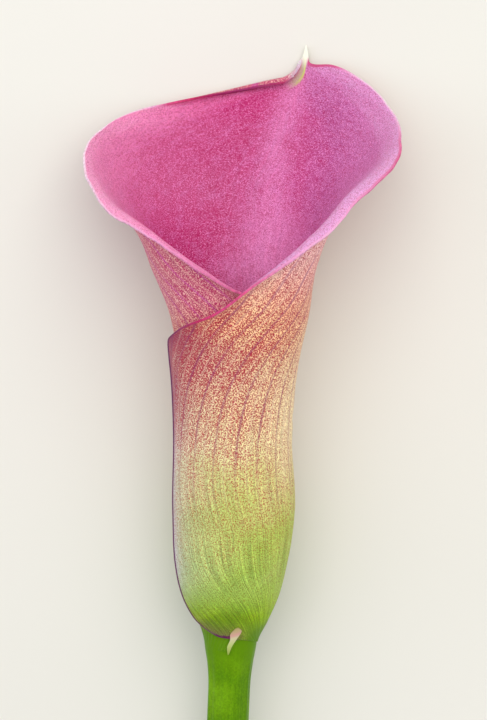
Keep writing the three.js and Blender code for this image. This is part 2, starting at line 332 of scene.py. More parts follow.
# %% The grid, in upright millimetres
BLADE_COLUMNS = 150
BLADE_ROWS = 230
COLUMN_CROWDING = 1.3  # more columns near the margins
BLADE_THICKNESS = 0.9  # mm at the midrib
WAVE_HEIGHT = 0.16  # mm that the lobes' margins wander in and out
WAVE_FADE = 3.0  # mm from the margin
WAVE_SPAN = 20  # mm of margin
WAVES = ((0.9, 0.4), (1.7, 2.1), (2.9, 4.0), (5.3, 1.2))  # turns in such a span, and where they start


def arc_length(points, axis):
    """Millimetres along the rows or columns of a grid, from the first point on."""
    steps = np.linalg.norm(np.diff(points, axis=axis), axis=-1)
    return np.insert(np.cumsum(steps, axis=axis), 0, 0, axis=axis)


bpy.ops.mesh.primitive_grid_add(x_subdivisions=BLADE_COLUMNS, y_subdivisions=BLADE_ROWS, size=2)
spathe = bpy.context.object
spathe.name = spathe.data.name = "spathe_blade"
flat = corners(spathe).reshape(BLADE_ROWS + 1, BLADE_COLUMNS + 1, 3)
across = np.sign(flat[..., 0]) * (1 - (1 - np.clip(np.abs(flat[..., 0]), 0, 1)) ** COLUMN_CROWDING)
along = (flat[..., 1] + 1) / 2
middle_column = BLADE_COLUMNS // 2
blade = on_blade(across, along)
rough_normals = surface_normals(blade)
for side, margin in ((-1, OUTER_MARGIN), (1, INNER_MARGIN)):
    curl_lip(blade, rough_normals, along[:, 0], side, margin)
wave_height = WAVE_HEIGHT * between(along[:, 0], 0.45, 0.6, 0.93, 0.97)
for rim, columns in ((0, slice(0, middle_column)), (-1, slice(middle_column + 1, None))):
    rim_line = blade[:, rim].copy()
    walked = arc_length(rim_line, 0) / WAVE_SPAN
    wander = sum(np.sin(2 * np.pi * turns * walked + start) / turns for turns, start in WAVES)
    fade = np.exp(-np.linalg.norm(blade[:, columns] - rim_line[:, None], axis=2) / WAVE_FADE)
    blade[:, columns] += rough_normals[:, columns] * ((wander * wave_height)[:, None] * fade)[..., None]
blade = press(blade, BLADE_THICKNESS / 2)
print("blade grid:", blade.shape, "highest point", round(float(blade[..., 2].max()), 1), "mm up")

# %% Set the flower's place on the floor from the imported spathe's box
spathe_low, spathe_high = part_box("spathe")
lying = lay_down(blade).reshape(-1, 3)
middle_now = (lying.min(0) + lying.max(0))[:2] / 2
middle_wanted = np.array([(spathe_low[i] + spathe_high[i]) / 2 for i in (0, 1)])
joint += (middle_wanted - middle_now) / MM
put(spathe, blade)
print("joint on the floor, mm:", np.round(joint, 2), "lowest, mm:", round(lying[:, 2].min() / MM, 2))

# %% [markdown]
# ## The camera
#
# The photograph looks straight at the front of the bloom. The flower lies on its back, so the same view
# is straight down, with the tip at the top of the picture. The bloom is small and the background far
# off, so the lens is long.

# %% Look straight down at the front of the bloom
CAMERA_DISTANCE = 0.700
FOCUS_HEIGHT = 20  # mm over the floor, about the middle of the bloom
AIM = (-2.34, -55.9)  # mm from the joint of stem and bloom to the middle of the picture
PICTURE_HEIGHT = 0.1464  # metres of flower that the picture takes in from top to bottom
SENSOR = 36.0

bpy.ops.object.camera_add(rotation=(0, 0, math.pi))
camera = bpy.context.object
camera.location = (*((joint + AIM) * MM), FOCUS_HEIGHT * MM + CAMERA_DISTANCE)
camera.data.sensor_fit = "VERTICAL"
camera.data.sensor_height = SENSOR
camera.data.lens = SENSOR * CAMERA_DISTANCE / PICTURE_HEIGHT
camera.data.clip_start = 0.01
bpy.context.scene.camera = camera
print("lens", round(camera.data.lens, 1), "mm")

# %% [markdown]
# ## What the finish needs to know
#
# A blade's colour follows its growth: the height on the flower, the distance from the margin, and the
# side of the midrib. A texture can't know these, so each vertex stores them as plain numbers with a
# name, which a material reads. Two maps go with them. One is measured in true millimetres, for even
# patterns, and one follows the veins, which start together at the foot and run out to the margin one
# after another.

# %% Distances, veins and the two maps
VEIN_SWEEP = [(0, 80), (5, 55), (12.7, 22), (24.5, 7), (31, 0), (39, 1), (45, 5), (50, 11), (57, 25.5)]
VEIN_SWEEP += [(61, 36), (64, 46), (69, 65), (81, 96), (95, 125), (120, 160)]  # degrees round at a height
INNER_LATER = 6  # mm; the veins of the inner half turn aside this much higher up
DEGREE = 0.218  # mm of blade in the tube


def distance_from(line, points):
    """Millimetres from each point to the nearest point of a line."""
    tree = KDTree(len(line))
    for i, place in enumerate(line):
        tree.insert(place, i)
    tree.balance()
    return np.array([tree.find(p)[2] for p in points.reshape(-1, 3)]).reshape(points.shape[:-1])


def set_attribute(piece, name, values):
    """Stores one number a vertex, which a material can read by its name."""
    layer = piece.data.attributes.new(name, "FLOAT", "POINT")
    layer.data.foreach_set("value", np.asarray(values, np.float32).ravel())


def set_map(piece, name, across_values, along_values):
    """Stores a UV map from two numbers a vertex."""
    layer = piece.data.uv_layers.new(name=name)
    vertex_of = np.empty(len(piece.data.loops), np.int32)
    piece.data.loops.foreach_get("vertex_index", vertex_of)
    pairs = np.stack([np.ravel(across_values), np.ravel(along_values)], -1)[vertex_of]
    layer.data.foreach_set("uv", pairs.astype(np.float32).ravel())


height_mm = blade[..., 2]
outer_half, inner_half = across < 0, across > 0
from_outer = distance_from(blade[:, 0], blade[:, : middle_column + 1])
from_inner = distance_from(blade[:, -1], blade[:, middle_column + 1 :])
margin_mm = np.concatenate([from_outer, from_inner], axis=1)
width_mm = arc_length(blade, 1)
width_mm = width_mm - width_mm[:, [middle_column]]
length_mm = arc_length(blade, 0)
rib_angle, *_, from_rib = blade_lines(across, along)
sweep = through(VEIN_SWEEP, height_mm - INNER_LATER * inner_half)[0] * smooth(np.abs(across), 0.15, 0.75)
vein_mm = (rib_angle - 180 + np.sign(across) * (from_rib + sweep)) * DEGREE
spathe.data.uv_layers.remove(spathe.data.uv_layers[0])
set_map(spathe, "millimetres", width_mm, length_mm)
set_map(spathe, "veins", vein_mm, length_mm)
print("the blade is", round(float(np.ptp(width_mm, axis=1).max()), 1), "mm wide")

# %% The green foot, the pale tip and the keel under it
KEEL_BEND = 2.4  # mm that the keel comes in from the right below the tip
growth = {"across": across, "height_mm": height_mm, "margin_mm": margin_mm}  # gathers all that is stored

keel_mm = width_mm - KEEL_BEND * (1 - smooth(along, 0.945, 0.974))
keel = smooth(along, 0.945, 0.963) * between(keel_mm, -0.3, 0.2, 0.6, 2.4)
keel_line = smooth(along, 0.953, 0.966) * np.exp(-(((keel_mm - 0.1) / 0.2) ** 2))
neck = (1 - smooth(height_mm, -1.0, 5.0)) * np.where(outer_half, smooth(margin_mm, 1.5, 5), 1)
growth["neck"] = np.maximum(neck, 1 - smooth(height_mm, -1.8, -0.8))
growth["tip"] = smooth(along, 0.974, 0.988)
growth["keel"], growth["keel_line"] = 0.75 * keel, 0.8 * keel_line
print("greenest at the foot:", round(float(neck.max()), 2))

# %% The margin: how old it looks, painted shade under the roll and under the left lip, painted sheen beside it, a flush at the foot, and where it is torn
MARGIN_AGE = [(0, 0.9), (0.03, 0.95), (0.06, 1.0), (0.37, 1.0), (0.41, 0.75), (0.45, 0.45), (0.5, 0.3)]
MARGIN_AGE += [(0.58, 0.15), (0.64, 0.28), (0.71, 0.3), (0.76, 0.1), (0.88, 0.05), (0.93, 0.4), (0.965, 0.5)]
MARGIN_AGE += [(1, 0.1)]  # way along, and the outer margin's age from 0, pale, to 1, dark purple
# The inner margin's age the same way. From 0.88 to 0.96 of the way along it rolls inwards left of the tip, and
# its crimson there is painted shade under the roll.
INNER_AGE_AND_ROLL_SHADE = [(0, 0.3), (0.5, 0.3), (0.6, 0.2), (0.7, 0.05), (0.84, 0.05), (0.88, 0.5), (0.96, 0.5)]
INNER_AGE_AND_ROLL_SHADE += [(0.98, 0.1), (1, 0.1)]


def from_margin(reach):
    """1 at the margin, fading over a number of millimetres."""
    return np.exp(-margin_mm / reach)


# the inner margin's values hold the painted shade under the roll as well
growth["dark_line"] = np.where(outer_half, through(MARGIN_AGE, along)[0], through(INNER_AGE_AND_ROLL_SHADE, along)[0])
# painted sheen: a grey-lavender haze along the tube's left edge, beside the seam, as grazing light gives it
growth["painted_sheen_by_seam"] = from_margin(7) * outer_half * between(height_mm, 4, 16, 52, 62)
# painted shade: a mauve darkening under the left lip, where the seam meets the mouth
corner = from_margin(6) * outer_half * smooth(height_mm, 36, 52) * (1 - smooth(along, 0.39, 0.44))
foot_flush = from_margin(2.5) * outer_half * (1 - smooth(height_mm, 1, 8))
growth["corner"] = corner + 0.35 * foot_flush  # painted shade under the left lip, where the seam meets the mouth, and a mauve flush along the margin at the foot
painted_light_under_flange = from_margin(12) * outer_half * between(along, 0.44, 0.56, 0.75, 0.85)
growth["painted_light_under_flange"] = painted_light_under_flange  # painted light: paler skin below the right lip, against the lip's shade
growth["torn_edge"] = 0.85 * inner_half * from_margin(1.2) * between(along, 0.953, 0.963, 0.975, 0.985)
print("the margin's numbers so far:", len(growth))

# %% Inside: painted light along the midrib, and the lobes' frosted bloom with painted sheen
BAND_PLACE = [(60, 6.5), (84, 8), (101, 9.8), (110, 12.5), (120, 14)]  # height and upright x of its middle

band_width = 3.6 + 0.35 * np.maximum(90 - height_mm, 0)
band = np.exp(-(((blade[..., 0] - through(BAND_PLACE, height_mm)[0]) / band_width) ** 2))
at_back = (blade[..., 1] > 0) * smooth(height_mm, 62, 74)
# painted light: a lighter band along the midrib, as the highlight on its ridge, stronger low down to brighten
# the throat
growth["painted_midrib_light"] = band * at_back * (0.55 + 0.4 * (1 - smooth(height_mm, 72, 92)))
# the lobes pale towards their lips: partly a frosted bloom, partly painted sheen where the lips turn out to
# the sky
left_lobe = 0.95 * between(along, 0.56, 0.68, 0.78, 0.9)
right_lobe = 0.75 * between(along, 0.47, 0.56, 0.7, 0.86)
bloom_reach = np.where(inner_half, 10.5 - 6 * smooth(along, 0.68, 0.8), 4.5)
growth["lobe_bloom_and_sheen"] = np.where(inner_half, left_lobe, right_lobe) * from_margin(bloom_reach)
print("the band is", round(float(band_width.min()), 1), "mm wide at the top")

# %% Outside: painted light on the tube's right side, the inner layer, and how much of the skin is red
SPECKLED = [(0, 0.02), (8, 0.06), (14, 0.11), (25, 0.21), (33, 0.25), (42, 0.4), (50, 0.51), (60, 0.57)]
SPECKLED += [(68, 0.47), (85, 0.5), (120, 0.54)]  # height, and the share of the skin that is red there

# painted light: the tube's right side is painted paler, cream with fewer red speckles, where light falls on it
painted_light_side = outer_half * (1 - smooth(np.abs(across), 0.36, 0.72)) * smooth(height_mm, 22, 45)
painted_light_side *= 1 - 0.6 * smooth(height_mm, 60, 76)
inner_layer = smooth(across, 0.1, 0.6) * smooth(height_mm, 55, 72)
# more red speckles under the left lip darken it, as painted shade
under_lip_shade = from_margin(5) * outer_half * smooth(height_mm, 36, 52) * (1 - smooth(along, 0.4, 0.48))
speckled_share = through(SPECKLED, height_mm)[0] + 0.3 * under_lip_shade + 0.1 * inner_layer
# fewer red speckles on the tube's lit right side and below the right lip: painted light
growth["speckled_share"] = speckled_share * (1 - 0.75 * painted_light_side) * (1 - 0.55 * painted_light_under_flange)
growth["painted_light_side"], growth["inner_layer"] = 0.6 * painted_light_side, inner_layer
for name, values in growth.items():
    set_attribute(spathe, name, values)
print("stored", *growth)

# %% [markdown]
# ## From sheet to leaf
#
# A leaf has thickness, but not the same everywhere: a spathe is about 0.9 mm thick at its midrib and
# thins to half of that at its margins. Solidify gives the sheet its two faces and its rim in one step.
# A vertex group thins it, and the modifier can hand the inside and the rim materials of their own. A
# small bevel rounds the rim.

# %% Thickness, thin margins and a round rim
MARGIN_THINNING = 0.5  # the share of the thickness left at the margin
THINS_WITHIN = 6.0  # mm of the margin
GROWN_IN = 0.12  # the share left where the blade grows out of the stem's skin
RIM_BEVEL = 0.14 * MM
RIM_ANGLE = math.radians(60)  # sharper edges than this are rounded
SMOOTH_ANGLE = math.radians(50)  # and sharper ones than this still show as edges
BLADE_SKINS = ("waxy_petal_skin_outside", "waxy_petal_skin_inside", "petal_rim_flesh", "dry_leaf_scrap")


def apply_modifier(piece, kind, **settings):
    """Adds a modifier, sets it and applies it."""
    bpy.ops.object.select_all(action="DESELECT")
    piece.select_set(True)
    bpy.context.view_layer.objects.active = piece
    modifier = piece.modifiers.new(kind.lower(), kind)
    for name, value in settings.items():
        setattr(modifier, name, value)
    bpy.ops.object.modifier_apply(modifier=modifier.name)


share_left = MARGIN_THINNING + (1 - MARGIN_THINNING) * np.clip(margin_mm / THINS_WITHIN, 0, 1)
grown = (1 - smooth(height_mm, -2.5, 3.5)) * smooth(margin_mm, 0.5, 3.0)
share_left += (GROWN_IN - share_left) * grown
share_left += (1 - share_left) * smooth(along, 0.955, 0.985)  # the drawn-out tip stays thick
group = spathe.vertex_groups.new(name="thickness")
for index, weight in enumerate(share_left.ravel()):
    group.add([index], float(weight), "REPLACE")
for name in BLADE_SKINS:
    spathe.data.materials.append(bpy.data.materials.new(name))  # their nodes follow below
apply_modifier(
    spathe,
    "SOLIDIFY",
    thickness=BLADE_THICKNESS * MM,
    offset=0,
    vertex_group="thickness",
    material_offset=1,
    material_offset_rim=2,
)
apply_modifier(spathe, "BEVEL", width=RIM_BEVEL, segments=2, limit_method="ANGLE", angle_limit=RIM_ANGLE)
skin = corners(spathe)
skin[:, 2] = np.maximum(skin[:, 2], 0)
spathe.data.vertices.foreach_set("co", skin.ravel())
bpy.ops.object.shade_smooth_by_angle(angle=SMOOTH_ANGLE)
print("spathe:", len(spathe.data.polygons), "faces, lowest", round(skin[:, 2].min() / MM, 3), "mm")

# %% [markdown]
# ## Scraps of dry leaf
#
# A real bloom is never quite clean. A dry scrap of the margin clings to the joint in front, and two
# tiny threads stand off the margin below the tip, where the leaf tore as it opened. Both are parts of
# the blade, so they are joined to it.

# %% A scrap at the foot and two threads at the tip
SCRAP = [  # upright x, y and z of its middle line, and its half width, mm, from its top down
    (1.0, -7.0, 2.2, 0.25),
    (0.8, -6.7, 1.2, 1.1),
    (0.3, -6.15, -0.3, 0.7),
    (-0.5, -5.75, -1.9, 0.5),
    (-0.8, -5.4, -3.6, 0.12),
]
SCRAP_THICKNESS = 0.25  # mm
SCRAP_TWIST = 0.3  # mm that it rises for each mm to the right
THREADS = (  # way along the margin, how far a thread reaches, and its radius, in mm
    (0.973, (-0.55, 0.0, 0.35), 0.1),
    (0.962, (-0.45, 0.0, 0.65), 0.2),
)
THREAD_ROOT = 0.1  # the share of a thread that is sunk in the margin


def shape_alone(piece, points):
    """Gives a small piece its upright points and takes its ready-made UV map away."""
    put(piece, points)
    piece.data.uv_layers.remove(piece.data.uv_layers[0])


faces_before = len(spathe.data.polygons)
bpy.ops.mesh.primitive_grid_add(x_subdivisions=8, y_subdivisions=28, size=2)
scrap = bpy.context.object
flat = corners(scrap)
downwards = (1 - flat[:, 1]) / 2
scrap_line = through([(i / 4, *row) for i, row in enumerate(SCRAP)], downwards)
sideways = flat[:, 0] * scrap_line[3]
hollow = sideways**2 / 12
shape_alone(scrap, scrap_line[:3].T + np.stack([sideways, hollow, SCRAP_TWIST * sideways], -1))
set_attribute(scrap, "scrap_share", downwards)
apply_modifier(scrap, "SOLIDIFY", thickness=SCRAP_THICKNESS * MM, offset=1)
scrap.data.materials.append(bpy.data.materials["dry_leaf_scrap"])
threads = []
for station, way, radius in THREADS:
    bpy.ops.mesh.primitive_cone_add(vertices=12, radius1=1, radius2=0.2, depth=1)
    thread = bpy.context.object
    cone = corners(thread)
    root = blade[round(station * BLADE_ROWS), -1] + np.outer(cone[:, 2] + 0.5 - THREAD_ROOT, way)
    round_way = np.stack([unit(np.cross(way, (0, 1, 0))), (0, 1, 0)])
    shape_alone(thread, root + radius * cone[:, :2] @ round_way)
    set_attribute(thread, "tip", np.ones(len(cone)))
    thread.data.materials.append(bpy.data.materials["petal_rim_flesh"])
    threads.append(thread)
bpy.ops.object.select_all(action="DESELECT")
for piece in (spathe, scrap, *threads):
    piece.select_set(True)
bpy.context.view_layer.objects.active = spathe
bpy.ops.object.join()
bpy.ops.object.shade_smooth_by_angle(angle=SMOOTH_ANGLE)
print("joined", len(spathe.data.polygons) - faces_before, "faces of scrap and threads")

# %% [markdown]
# ## The stem
#
# The scape is one smooth, fleshy stalk. It leaves the bloom straight along its axis and sinks in a soft
# curve until it lies on the floor. A cylinder is enough to start with: its long edges are subdivided
# into rings, its two ends are inset so that they can be rounded, and then every vertex is carried from
# the straight cylinder to the bent stem.

# %% A cylinder with rings, and ends that can be shaped
STEM_SIDES = 96
STEM_RINGS = 110
END_INSETS = (0.06, 0.1, 0.16, 0.2, 0.22)  # shares of the radius
CUT_SKIN = 0.93  # share of the cut's radius where its flesh ends and the skin begins


def pick(piece, kind, wanted):
    """Selects, in edit mode, the edges or the faces that pass a test."""
    bpy.ops.object.mode_set(mode="EDIT")
    bpy.ops.mesh.select_mode(type=kind)
    bpy.ops.mesh.select_all(action="DESELECT")
    bpy.ops.object.mode_set(mode="OBJECT")
    for element in piece.data.edges if kind == "EDGE" else piece.data.polygons:
        element.select = bool(wanted(element))
    bpy.ops.object.mode_set(mode="EDIT")


def is_long(edge):
    """Whether an edge of the stem runs from one end to the other."""
    low, high = (stem.data.vertices[i].co.z for i in edge.vertices)
    return abs(high - low) > 0.5


bpy.ops.mesh.primitive_cylinder_add(vertices=STEM_SIDES, radius=1, depth=1, location=(0, 0, 0.5))
stem = bpy.context.object
stem.name = stem.data.name = "scape"
bpy.ops.object.transform_apply(location=True, rotation=False, scale=False)
pick(stem, "EDGE", is_long)
bpy.ops.mesh.subdivide(number_cuts=STEM_RINGS - 1)
for end in (-1, 1):
    pick(stem, "FACE", lambda face: face.normal.z * end > 0.9)
    for inset in END_INSETS:
        bpy.ops.mesh.inset(thickness=inset)
    bpy.ops.mesh.poke()
bpy.ops.object.mode_set(mode="OBJECT")
for face in stem.data.polygons:
    centre = face.center
    face.material_index = int(centre.z > 0.9999 and math.hypot(centre.x, centre.y) < CUT_SKIN)
print("stem:", len(stem.data.vertices), "vertices in", STEM_RINGS, "rings")

# %% Carry the cylinder onto the stem's own curve
STEM_LENGTH = 115
STEM_RADIUS = 4.8  # at the cut
STEM_RADII = [(0, 5.6), (3, 5.27), (6, 4.75), (10, 4.35), (14, 4.3), (30, 4.4), (70, 4.7)]
STEM_RADII += [(STEM_LENGTH, STEM_RADIUS)]  # mm down from the joint, and the radius there
STEM_SWAY = -4  # mm that its end lies to the left
STEM_LEAN = -1.6  # mm to the left, a third of the way down
STEM_START = -0.28  # mm to the left, under the middle of the blade's foot
STEM_PRESS = 0.4  # mm that its weight flattens it at the cut
RING_CROWDING = 1.2  # more rings near the bloom
SEAT_HEIGHT = 1.4  # of the rounded top that the blade's foot closes round
STEM_RIBS = 11
STEM_RIB_RELIEF = 0.09  # mm
CUT_SLANT = math.tan(math.radians(15))
CUT_HOLLOW = 0.5  # mm that the soft pith sinks below the cut's firm skin

down_axis = np.array([0.0, -math.sin(LIE_TILT), -math.cos(LIE_TILT)])
up_axis = np.array([0.0, -math.cos(LIE_TILT), math.sin(LIE_TILT)])
stem_end = down_axis * STEM_LENGTH + up_axis * (STEM_RADIUS - STEM_PRESS - JOINT_HEIGHT)
stem_end[0] = STEM_SWAY
before_end = stem_end - down_axis * STEM_LENGTH / 3
handles = np.array([(STEM_START, 0, 0), (STEM_LEAN, 0, -STEM_LENGTH / 3), before_end, stem_end])


def on_axis(share):
    """Points of the stem's axis and their directions, for shares of the way from the bloom to the cut."""
    s = share[:, None]
    point = (1 - s) ** 3 * handles[0] + 3 * (1 - s) ** 2 * s * handles[1]
    point = point + 3 * (1 - s) * s**2 * handles[2] + s**3 * handles[3]
    legs = np.diff(handles, axis=0)
    way = (1 - s) ** 2 * legs[0] + 2 * (1 - s) * s * legs[1] + s**2 * legs[2]
    return point, unit(way)


tube = corners(stem)
turn = np.arctan2(tube[:, 1], tube[:, 0])
radius_share = np.hypot(tube[:, 0], tube[:, 1])
share = np.clip(tube[:, 2], 0, 1) ** RING_CROWDING
down_mm = share * STEM_LENGTH
centre, way = on_axis(share)
side_way = unit(np.array([1.0, 0, 0]) - way * way[:, :1])
front_way = np.cross(way, side_way)
ribs = STEM_RIB_RELIEF * np.cos(STEM_RIBS * turn + 1.3 * np.sin(3 * turn)) * smooth(down_mm, 1, 8)
radius = (through(STEM_RADII, down_mm)[0] + ribs) * radius_share
right, forward = radius * np.cos(turn), radius * np.sin(turn)
placed = centre + side_way * right[:, None] + front_way * forward[:, None]
at_cut = tube[:, 2] > 0.9999
sunk = CUT_HOLLOW * smooth(1 - radius_share, 0.02, 0.3)
placed += way * (at_cut * (CUT_SLANT * forward - sunk))[:, None]
at_top = (tube[:, 2] < 0.0001) & (radius_share < 0.99)
placed[at_top, 2] += SEAT_HEIGHT * smooth(1 - radius_share, 0.0, 0.5)[at_top]
put(stem, press(placed, 0, softness=0.25))
set_map(stem, "millimetres", turn * STEM_RADIUS, down_mm)
set_map(stem, "cut", right, forward)
set_attribute(stem, "down_mm", down_mm)
bpy.ops.object.shade_smooth_by_angle(angle=SMOOTH_ANGLE)
print("stem end, mm:", np.round(stem_end, 1))

# %% [markdown]
# ## The spadix
#
# Deep in the throat stands the true flower head: a blunt finger set with hundreds of florets. Each one
# is a bead about a millimetre wide with a small dimple, and they wind up the finger as seeds wind round
# a sunflower, each a golden angle further on. Beads laid into each other would leave hidden faces, so
# they are raised from one skin instead.

# %% A finger of florets
SPADIX_FOOT = 1.8  # mm over the joint
SPADIX_TOP = 51
SPADIX_RADIUS = 3.6
SPADIX_TAPER = 0.22  # the share of its radius that it loses on the way up
SPADIX_CROWN = 0.1  # the share of its length that is rounded off
FLORET_PITCH = 1.15  # mm
FLORET_RELIEF = 0.42  # mm
FLORET_DIMPLE = 0.12  # mm
GOLDEN_ANGLE = math.pi * (3 - math.sqrt(5))
SPADIX_SIDES = 150
SPADIX_RINGS = 300

bpy.ops.mesh.primitive_uv_sphere_add(segments=SPADIX_SIDES, ring_count=SPADIX_RINGS, radius=1)
spadix = bpy.context.object
spadix.name = spadix.data.name = "floret_spike"
ball = corners(spadix)
turn = np.arctan2(ball[:, 1], ball[:, 0])
rise = 1 - np.arccos(np.clip(ball[:, 2], -1, 1)) / math.pi  # even steps from the foot to the top


def spike_radius(rise):
    """The bare finger's radius, rounded at its two ends."""
    crown = np.sqrt(np.clip(1 - np.clip(1 - (1 - rise) / SPADIX_CROWN, 0, 1) ** 2, 0, 1))
    foot = np.sqrt(np.clip(1 - np.clip(1 - rise / 0.02, 0, 1) ** 2, 0, 1))
    return (SPADIX_RADIUS - FLORET_RELIEF / 3) * (1 - SPADIX_TAPER * rise) * crown * foot


def on_spike(turn, rise):
    """Points of the bare finger."""
    radius = spike_radius(rise)
    return np.stack([radius * np.cos(turn), radius * np.sin(turn), rise * (SPADIX_TOP - SPADIX_FOOT)], -1)


floret_count = int(2 * math.pi * SPADIX_RADIUS * (SPADIX_TOP - SPADIX_FOOT) / FLORET_PITCH**2)
floret = np.arange(floret_count)
skin = on_spike(turn, rise)
nearest = distance_from(on_spike(floret * GOLDEN_ANGLE, (floret + 0.5) / floret_count), skin)
bead = np.sqrt(np.clip(1 - (nearest / (0.62 * FLORET_PITCH)) ** 2, 0, 1))
dimple = np.exp(-((nearest / (0.2 * FLORET_PITCH)) ** 2))
raised = FLORET_RELIEF * bead - FLORET_DIMPLE * dimple
outward = unit(np.stack([np.cos(turn), np.sin(turn), smooth(rise, 1 - SPADIX_CROWN, 1)], -1))
skin += outward * (raised * smooth(rise, 0, 0.03))[:, None]
put(spadix, skin + (0, 0, SPADIX_FOOT))
for name, values in (("bead", bead), ("dimple", dimple), ("rise", rise)):
    set_attribute(spadix, name, values)
bpy.ops.object.shade_smooth_by_angle(angle=math.radians(70))
print("spadix:", floret_count, "florets on", len(spadix.data.polygons), "faces")

# %% [markdown]
# ## Colours and nodes
#
# Two small helpers serve every finish. One turns an sRGB hex colour, as a picture shows it, into the
# linear numbers a shader wants. The other adds one node: its options, its fixed inputs, its links and,
# for a ramp, its colour stops.

# %% Helpers for the finishes
SHARE, FIRST, SECOND, MIXED = 0, 6, 7, 2  # the sockets of a Mix node that mixes colours


def colour(code):
    """An sRGB hex colour as linear RGBA."""
    channels = (int(code[i : i + 2], 16) / 255 for i in (1, 3, 5))
    return (*(c / 12.92 if c <= 0.04045 else ((c + 0.055) / 1.055) ** 2.4 for c in channels), 1.0)


def add(tree, kind, inputs=None, out=0, stops=(), **options):
    """Adds a shader node and returns an output. An input is a value, a hex colour or another output."""
    new = tree.nodes.new("ShaderNode" + kind)
    for name, value in options.items():
        setattr(new, name, value)
    for name, value in (inputs or {}).items():
        if isinstance(value, bpy.types.NodeSocket):
            tree.links.new(value, new.inputs[name])
        else:
            new.inputs[name].default_value = colour(value) if isinstance(value, str) else value
    if stops:
        ramp = new.color_ramp.elements
        ramp.remove(ramp[1])
        for i, (place, code) in enumerate(stops):
            stop = ramp.new(place) if i else ramp[0]
            stop.position, stop.color = place, colour(code)
    return new.outputs[out] if new.outputs else None


def new_material(name):
    """The material of that name, made if there is none yet, with an empty node tree."""
    material = bpy.data.materials.get(name) or bpy.data.materials.new(name)
    material.use_nodes = True
    material.node_tree.nodes.clear()
    return material, material.node_tree


print("pink", [round(c, 3) for c in colour("#d9668f")])

# %% [markdown]
# ## The spathe's outside
#
# Seen from outside the blade is a pale ground under thousands of fine red speckles. The ground is green
# at the foot, turns to cream in the tube and to apricot below the mouth. Over it run thin purple veins,
# and the margin ends in a dark purple line. The skin is a living, waxy cuticle: a soft gloss, a little
# velvet at a grazing angle, and light that sinks in.
#
# A speckle is a cluster of single cells that hold red sap, and its neighbours hold none. So a Voronoi
# texture draws the cells, a coarser one gathers them in clusters, and each cell turns red or stays pale
# as a whole. The share of red cells rises with the height, as it does on the flower, until the speckles
# nearly close.

# %% What the blade's skins share: the margin's colour, fine patterns and a waxy shader
CLOUD_SIZE = 11  # mm
STRIA_PITCH = 0.28  # mm
ASKEW = (0.5, 0.7, 0.4)  # a turn that keeps fine patterns from lining up with the flower
MARGIN_TINTS = [(0.0, "#f0cfe2"), (0.2, "#e49cc6"), (0.35, "#cc4c80"), (0.55, "#b92c62"), (0.8, "#7a1c5c")]
MARGIN_TINTS += [(1.0, "#561650")]  # from the pale lobes, 0, to the dark seam, 1
STEM_GREEN = "#5c8800"  # where blade and stem have grown together


def margin_colour(tree):
    """The colour of the blade's last few tenths of a millimetre."""
    age = add(tree, "Attribute", out="Fac", attribute_name="dark_line")
    return add(tree, "ValToRGB", {"Fac": age}, stops=MARGIN_TINTS)


def margin_line(tree, leaf, breadth, starts, ends, strength):
    """The share and the colour of the line along the margin, which is broader where it is darker: where the
    margin is older, and under the roll left of the tip, where its crimson is painted shade.
    """
    aged = {0: leaf["dark_line"], 1: -breadth, 2: leaf["margin_mm"]}
    inland = add(tree, "Math", aged, operation="MULTIPLY_ADD")
    fades = {"Value": inland, "From Min": starts, "From Max": ends, "To Min": strength, "To Max": 0.0}
    return add(tree, "MapRange", fades), margin_colour(tree)


def skin_patterns(tree, millimetres, veins, cloud_detail, strand_length):
    """Wide clouds, fine lines along the veins, and millimetres in which cells have no direction."""
    clouds = {"Vector": millimetres, "Scale": 1 / CLOUD_SIZE, "Detail": cloud_detail}
    cloud = add(tree, "TexNoise", clouds, noise_dimensions="2D")
    strands = add(tree, "Mapping", {"Vector": veins, "Scale": (1 / STRIA_PITCH, 1 / strand_length, 1)})
    stria = add(tree, "TexNoise", {"Vector": strands, "Scale": 1.0, "Detail": 3.0}, noise_dimensions="2D")
    where = add(tree, "TexCoord", out="Object")
    askew = add(tree, "Mapping", {"Vector": where, "Rotation": ASKEW, "Scale": (1 / MM, 1 / MM, 1 / MM)})
    return cloud, stria, askew


def living_skin(tree, skin, bumps, roughness):
    """Waxy plant skin: light sinks in a little way, and cell walls give it a soft sheen."""
    looks = {
        "Base Color": skin,
        "Normal": bumps,
        "Roughness": roughness,
        "IOR": 1.42,
        "Specular IOR Level": 0.16,
        "Subsurface Weight": 0.3,
        "Subsurface Radius": (1.0, 0.45, 0.5),
        "Subsurface Scale": 1.2 * MM,
        "Sheen Weight": 0.03,
        "Sheen Roughness": 0.5,
    }
    add(tree, "OutputMaterial", {"Surface": add(tree, "BsdfPrincipled", looks)})


print("the margin has", len(MARGIN_TINTS), "tints")

# %% Petal skin, outside: the ground
GROUND = [(0.0, "#6c9000"), (0.04, "#86aa04"), (0.09, "#9cba28"), (0.15, "#a8be48"), (0.21, "#b2bf58")]
GROUND += [(0.28, "#c8c678"), (0.34, "#dcd198"), (0.4, "#e6d29e"), (0.48, "#e8ca9a"), (0.57, "#eabd94")]
GROUND += [(0.66, "#ecb6a4"), (0.98, "#e8a8a2")]  # from the joint, 0, to the top of the mouth, 1
MOUTH_TOP = 120.0  # mm over the joint
CLOUD_DRIFT = 18.0  # mm that clouds carry the ground's colours up or down
OUTSIDE_NEEDS = ("height_mm", "margin_mm", "painted_sheen_by_seam", "inner_layer", "painted_light_side", "painted_light_under_flange", "corner")
OUTSIDE_NEEDS += ("speckled_share", "dark_line", "neck", "torn_edge", "tip")

